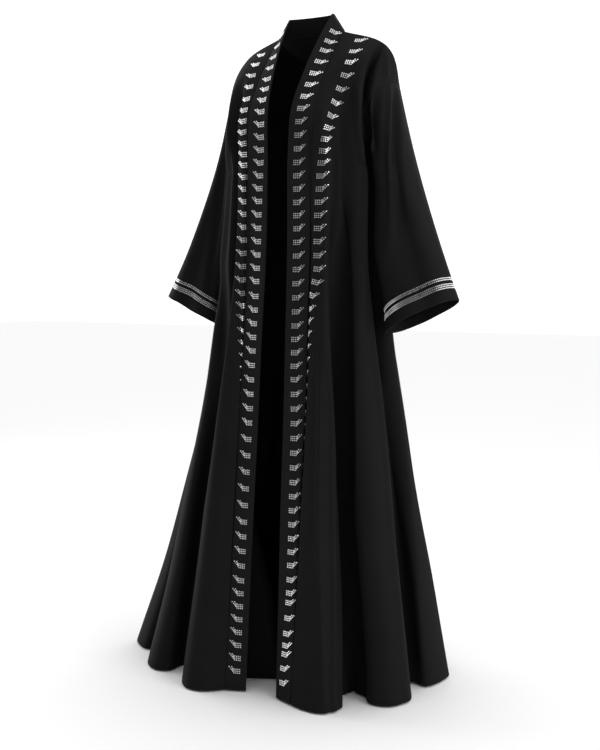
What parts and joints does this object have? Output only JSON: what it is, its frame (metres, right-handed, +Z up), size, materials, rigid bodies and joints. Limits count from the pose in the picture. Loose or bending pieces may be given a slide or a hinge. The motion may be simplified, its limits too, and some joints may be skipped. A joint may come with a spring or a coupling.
{
  "type": "abaya cloak",
  "caption": "long open-front cloak with full-length front bands, a standing back-neck band, wide bell sleeves and a flared hem, hollow as worn",
  "frame": {"origin": "midway between the shoulders, level with the foot of the neck and in the plane of the shoulder seams, where a wearer's shoulders carry the cloak", "axes": "+Z up, -Y towards the open front, +X towards the wearer's left"},
  "size_m": [0.7988, 0.4405, 1.4705],
  "materials": {
    "front_left": "matt black crepe with a slight sheen",
    "front_right": "matt black crepe with a slight sheen",
    "back_left": "matt black crepe with a slight sheen",
    "back_right": "matt black crepe with a slight sheen",
    "sleeve_left": "matt black crepe with a slight sheen",
    "sleeve_right": "matt black crepe with a slight sheen",
    "band_left": "matt black crepe, doubled and pressed",
    "band_right": "matt black crepe, doubled and pressed",
    "band_neck": "matt black crepe, doubled and pressed"
  },
  "bodies": {
    "root": {"front_left": "front_left", "front_right": "front_right", "back_left": "back_left", "back_right": "back_right", "sleeve_left": "sleeve_left", "sleeve_right": "sleeve_right", "band_left": "band_left", "band_right": "band_right", "band_neck": "band_neck"}
  },
  "joints": []
}
